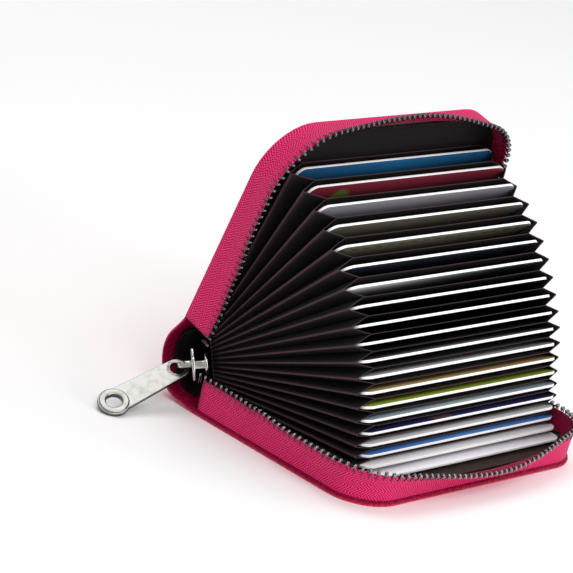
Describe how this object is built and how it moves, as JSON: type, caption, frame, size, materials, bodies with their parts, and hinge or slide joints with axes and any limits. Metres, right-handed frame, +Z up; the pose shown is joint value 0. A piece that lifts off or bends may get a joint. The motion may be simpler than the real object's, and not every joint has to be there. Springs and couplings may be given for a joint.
{
  "type": "card wallet",
  "caption": "Zip-round card wallet standing open on its rear cover: leather covers hinged on a spine, an accordion of card pockets, zip tapes with metal teeth, slider and puller.",
  "frame": {"origin": "centre of the rear cover's flat underside, on which the open wallet rests", "axes": "+X along the spine away from the slider's end, -Y towards the mouth, +Z up"},
  "size_m": [0.1339, 0.0963, 0.0968],
  "materials": {
    "leather": "glossy pebbled",
    "board": "plain",
    "lining": "fine ribs",
    "pocket_cloth": "fine ribs",
    "tape": "woven",
    "zip_metal": "polished dark",
    "slider_metal": "polished dark",
    "card": "printed"
  },
  "bodies": {
    "rear_cover": {"rear_cover_leather": "leather", "rear_cover_board": "board", "rear_cover_lining": "lining", "rear_zip_tape": "tape", "rear_zip_teeth": "zip_metal", "rear_zip_stop": "zip_metal"},
    "spine": {"spine_leather": "leather", "spine_lining": "lining", "accordion_back_strip": "lining"},
    "front_cover": {"front_cover_leather": "leather", "front_cover_board": "board", "front_cover_lining": "lining", "front_zip_tape": "tape", "front_zip_teeth": "zip_metal", "front_zip_stop": "zip_metal"},
    "slider": {"slider_body": "slider_metal", "slider_bail": "slider_metal"},
    "puller": {"puller": "slider_metal"},
    "pocket_01": {"pocket_01": "pocket_cloth"},
    "card_01": {"card_01": "card"},
    "pocket_02": {"pocket_02": "pocket_cloth"},
    "card_02": {"card_02": "card"},
    "pocket_03": {"pocket_03": "pocket_cloth"},
    "card_03": {"card_03": "card"},
    "pocket_04": {"pocket_04": "pocket_cloth"},
    "card_04": {"card_04": "card"},
    "pocket_05": {"pocket_05": "pocket_cloth"},
    "card_05": {"card_05": "card"},
    "pocket_06": {"pocket_06": "pocket_cloth"},
    "card_06": {"card_06": "card"},
    "pocket_07": {"pocket_07": "pocket_cloth"},
    "card_07": {"card_07": "card"},
    "pocket_08": {"pocket_08": "pocket_cloth"},
    "card_08": {"card_08": "card"},
    "pocket_09": {"pocket_09": "pocket_cloth"},
    "card_09": {"card_09": "card"},
    "pocket_10": {"pocket_10": "pocket_cloth"},
    "card_10": {"card_10": "card"},
    "pocket_11": {"pocket_11": "pocket_cloth"},
    "card_11": {"card_11": "card"},
    "pocket_12": {"pocket_12": "pocket_cloth"},
    "card_12": {"card_12": "card"},
    "pocket_13": {"pocket_13": "pocket_cloth"},
    "card_13": {"card_13": "card"},
    "pocket_14": {"pocket_14": "pocket_cloth"},
    "card_14": {"card_14": "card"},
    "pocket_15": {"pocket_15": "pocket_cloth"},
    "card_15": {"card_15": "card"},
    "pocket_16": {"pocket_16": "pocket_cloth"},
    "card_16": {"card_16": "card"},
    "pocket_17": {"pocket_17": "pocket_cloth"},
    "card_17": {"card_17": "card"},
    "pocket_18": {"pocket_18": "pocket_cloth"},
    "card_18": {"card_18": "card"},
    "pocket_19": {"pocket_19": "pocket_cloth"},
    "card_19": {"card_19": "card"},
    "pocket_20": {"pocket_20": "pocket_cloth"},
    "card_20": {"card_20": "card"}
  },
  "joints": [
    {"name": "spine_fold", "type": "hinge", "parent": "rear_cover", "child": "spine", "pos_m": [0, 0.03475, 0.0029], "axis": [-1, 0, 0], "range_deg": [-23, 0]},
    {"name": "front_fold", "type": "hinge", "parent": "spine", "child": "front_cover", "pos_m": [0, 0.04374, 0.02407], "axis": [-1, 0, 0], "range_deg": [-52, 0]},
    {"name": "zip_slide", "type": "slide", "parent": "spine", "child": "slider", "axis": [0, -0.9205, 0.3907], "range_m": [0, 0.045]},
    {"name": "puller_swing", "type": "hinge", "parent": "slider", "child": "puller", "pos_m": [-0.0568, 0.03547, 0.01509], "axis": [0, 0.9205, -0.3907], "range_deg": [-10, 80]},
    {"name": "pocket_fold_01", "type": "hinge", "parent": "spine", "child": "pocket_01", "pos_m": [0, 0.03497, 0.00343], "axis": [-1, 0, 0], "range_deg": [0, 22.35], "deforming": ["pocket_01"]},
    {"name": "card_slide_01", "type": "slide", "parent": "pocket_01", "child": "card_01", "axis": [0, -0.9999, 0.0113], "range_m": [0, 0.009]},
    {"name": "pocket_fold_02", "type": "hinge", "parent": "spine", "child": "pocket_02", "pos_m": [0, 0.03542, 0.00449], "axis": [-1, 0, 0], "range_deg": [0, 20.86], "deforming": ["pocket_02"]},
    {"name": "card_slide_02", "type": "slide", "parent": "pocket_02", "child": "card_02", "axis": [0, -0.9993, 0.0373], "range_m": [0, 0.009]},
    {"name": "pocket_fold_03", "type": "hinge", "parent": "spine", "child": "pocket_03", "pos_m": [0, 0.03587, 0.00555], "axis": [-1, 0, 0], "range_deg": [0, 19.12], "deforming": ["pocket_03"]},
    {"name": "card_slide_03", "type": "slide", "parent": "pocket_03", "child": "card_03", "axis": [0, -0.9977, 0.0676], "range_m": [0, 0.009]},
    {"name": "pocket_fold_04", "type": "hinge", "parent": "spine", "child": "pocket_04", "pos_m": [0, 0.03632, 0.00661], "axis": [-1, 0, 0], "range_deg": [0, 17.13], "deforming": ["pocket_04"]},
    {"name": "card_slide_04", "type": "slide", "parent": "pocket_04", "child": "card_04", "axis": [0, -0.9948, 0.1023], "range_m": [0, 0.012]},
    {"name": "pocket_fold_05", "type": "hinge", "parent": "spine", "child": "pocket_05", "pos_m": [0, 0.03677, 0.00766], "axis": [-1, 0, 0], "range_deg": [0, 14.89], "deforming": ["pocket_05"]},
    {"name": "card_slide_05", "type": "slide", "parent": "pocket_05", "child": "card_05", "axis": [0, -0.99, 0.1411], "range_m": [0, 0.04]},
    {"name": "pocket_fold_06", "type": "hinge", "parent": "spine", "child": "pocket_06", "pos_m": [0, 0.03722, 0.00872], "axis": [-1, 0, 0], "range_deg": [0, 12.39], "deforming": ["pocket_06"]},
    {"name": "card_slide_06", "type": "slide", "parent": "pocket_06", "child": "card_06", "axis": [0, -0.9829, 0.1841], "range_m": [0, 0.04]},
    {"name": "pocket_fold_07", "type": "hinge", "parent": "spine", "child": "pocket_07", "pos_m": [0, 0.03767, 0.00978], "axis": [-1, 0, 0], "range_deg": [0, 9.65], "deforming": ["pocket_07"]},
    {"name": "card_slide_07", "type": "slide", "parent": "pocket_07", "child": "card_07", "axis": [0, -0.973, 0.2309], "range_m": [0, 0.04]},
    {"name": "pocket_fold_08", "type": "hinge", "parent": "spine", "child": "pocket_08", "pos_m": [0, 0.03812, 0.01084], "axis": [-1, 0, 0], "range_deg": [0, 6.65], "deforming": ["pocket_08"]},
    {"name": "card_slide_08", "type": "slide", "parent": "pocket_08", "child": "card_08", "axis": [0, -0.9596, 0.2815], "range_m": [0, 0.04]},
    {"name": "pocket_fold_09", "type": "hinge", "parent": "spine", "child": "pocket_09", "pos_m": [0, 0.03857, 0.0119], "axis": [-1, 0, 0], "range_deg": [0, 3.41], "deforming": ["pocket_09"]},
    {"name": "card_slide_09", "type": "slide", "parent": "pocket_09", "child": "card_09", "axis": [0, -0.9421, 0.3354], "range_m": [0, 0.04]},
    {"name": "pocket_fold_10", "type": "hinge", "parent": "spine", "child": "pocket_10", "pos_m": [0, 0.03902, 0.01296], "axis": [-1, 0, 0], "range_deg": [-0.0949, 0], "deforming": ["pocket_10"]},
    {"name": "card_slide_10", "type": "slide", "parent": "pocket_10", "child": "card_10", "axis": [0, -0.9199, 0.3922], "range_m": [0, 0.04]},
    {"name": "pocket_fold_11", "type": "hinge", "parent": "spine", "child": "pocket_11", "pos_m": [0, 0.03947, 0.01402], "axis": [-1, 0, 0], "range_deg": [-3.84, 0], "deforming": ["pocket_11"]},
    {"name": "card_slide_11", "type": "slide", "parent": "pocket_11", "child": "card_11", "axis": [0, -0.8922, 0.4516], "range_m": [0, 0.04]},
    {"name": "pocket_fold_12", "type": "hinge", "parent": "spine", "child": "pocket_12", "pos_m": [0, 0.03992, 0.01507], "axis": [-1, 0, 0], "range_deg": [-7.85, 0], "deforming": ["pocket_12"]},
    {"name": "card_slide_12", "type": "slide", "parent": "pocket_12", "child": "card_12", "axis": [0, -0.8586, 0.5127], "range_m": [0, 0.04]},
    {"name": "pocket_fold_13", "type": "hinge", "parent": "spine", "child": "pocket_13", "pos_m": [0, 0.04037, 0.01613], "axis": [-1, 0, 0], "range_deg": [-12.1, 0], "deforming": ["pocket_13"]},
    {"name": "card_slide_13", "type": "slide", "parent": "pocket_13", "child": "card_13", "axis": [0, -0.8182, 0.575], "range_m": [0, 0.04]},
    {"name": "pocket_fold_14", "type": "hinge", "parent": "spine", "child": "pocket_14", "pos_m": [0, 0.04082, 0.01719], "axis": [-1, 0, 0], "range_deg": [-16.6, 0], "deforming": ["pocket_14"]},
    {"name": "card_slide_14", "type": "slide", "parent": "pocket_14", "child": "card_14", "axis": [0, -0.7705, 0.6374], "range_m": [0, 0.04]},
    {"name": "pocket_fold_15", "type": "hinge", "parent": "spine", "child": "pocket_15", "pos_m": [0, 0.04127, 0.01825], "axis": [-1, 0, 0], "range_deg": [-21.36, 0], "deforming": ["pocket_15"]},
    {"name": "card_slide_15", "type": "slide", "parent": "pocket_15", "child": "card_15", "axis": [0, -0.715, 0.6991], "range_m": [0, 0.04]},
    {"name": "pocket_fold_16", "type": "hinge", "parent": "spine", "child": "pocket_16", "pos_m": [0, 0.04171, 0.01931], "axis": [-1, 0, 0], "range_deg": [-26.36, 0], "deforming": ["pocket_16"]},
    {"name": "card_slide_16", "type": "slide", "parent": "pocket_16", "child": "card_16", "axis": [0, -0.6513, 0.7588], "range_m": [0, 0.04]},
    {"name": "pocket_fold_17", "type": "hinge", "parent": "spine", "child": "pocket_17", "pos_m": [0, 0.04216, 0.02037], "axis": [-1, 0, 0], "range_deg": [-31.62, 0], "deforming": ["pocket_17"]},
    {"name": "card_slide_17", "type": "slide", "parent": "pocket_17", "child": "card_17", "axis": [0, -0.579, 0.8153], "range_m": [0, 0.04]},
    {"name": "pocket_fold_18", "type": "hinge", "parent": "spine", "child": "pocket_18", "pos_m": [0, 0.04261, 0.02143], "axis": [-1, 0, 0], "range_deg": [-37.13, 0], "deforming": ["pocket_18"]},
    {"name": "card_slide_18", "type": "slide", "parent": "pocket_18", "child": "card_18", "axis": [0, -0.4981, 0.8671], "range_m": [0, 0.04]},
    {"name": "pocket_fold_19", "type": "hinge", "parent": "spine", "child": "pocket_19", "pos_m": [0, 0.04306, 0.02248], "axis": [-1, 0, 0], "range_deg": [-42.89, 0], "deforming": ["pocket_19"]},
    {"name": "card_slide_19", "type": "slide", "parent": "pocket_19", "child": "card_19", "axis": [0, -0.4085, 0.9128], "range_m": [0, 0.009]},
    {"name": "pocket_fold_20", "type": "hinge", "parent": "spine", "child": "pocket_20", "pos_m": [0, 0.04351, 0.02354], "axis": [-1, 0, 0], "range_deg": [-48.9, 0], "deforming": ["pocket_20"]},
    {"name": "card_slide_20", "type": "slide", "parent": "pocket_20", "child": "card_20", "axis": [0, -0.3107, 0.9505], "range_m": [0, 0.009]}
  ],
  "couplings": [
    {"joint": "front_fold", "follows": "spine_fold", "ratio": 2.2609},
    {"joint": "pocket_fold_01", "follows": "spine_fold", "ratio": -0.97173},
    {"joint": "pocket_fold_02", "follows": "spine_fold", "ratio": -0.907},
    {"joint": "pocket_fold_03", "follows": "spine_fold", "ratio": -0.83135},
    {"joint": "pocket_fold_04", "follows": "spine_fold", "ratio": -0.74478},
    {"joint": "pocket_fold_05", "follows": "spine_fold", "ratio": -0.64728},
    {"joint": "pocket_fold_06", "follows": "spine_fold", "ratio": -0.53885},
    {"joint": "pocket_fold_07", "follows": "spine_fold", "ratio": -0.4195},
    {"joint": "pocket_fold_08", "follows": "spine_fold", "ratio": -0.28923},
    {"joint": "pocket_fold_09", "follows": "spine_fold", "ratio": -0.14804},
    {"joint": "pocket_fold_10", "follows": "spine_fold", "ratio": 0.004083},
    {"joint": "pocket_fold_11", "follows": "spine_fold", "ratio": 0.16713},
    {"joint": "pocket_fold_12", "follows": "spine_fold", "ratio": 0.34109},
    {"joint": "pocket_fold_13", "follows": "spine_fold", "ratio": 0.52599},
    {"joint": "pocket_fold_14", "follows": "spine_fold", "ratio": 0.7218},
    {"joint": "pocket_fold_15", "follows": "spine_fold", "ratio": 0.92854},
    {"joint": "pocket_fold_16", "follows": "spine_fold", "ratio": 1.1462},
    {"joint": "pocket_fold_17", "follows": "spine_fold", "ratio": 1.3748},
    {"joint": "pocket_fold_18", "follows": "spine_fold", "ratio": 1.6143},
    {"joint": "pocket_fold_19", "follows": "spine_fold", "ratio": 1.8647},
    {"joint": "pocket_fold_20", "follows": "spine_fold", "ratio": 2.1261}
  ]
}
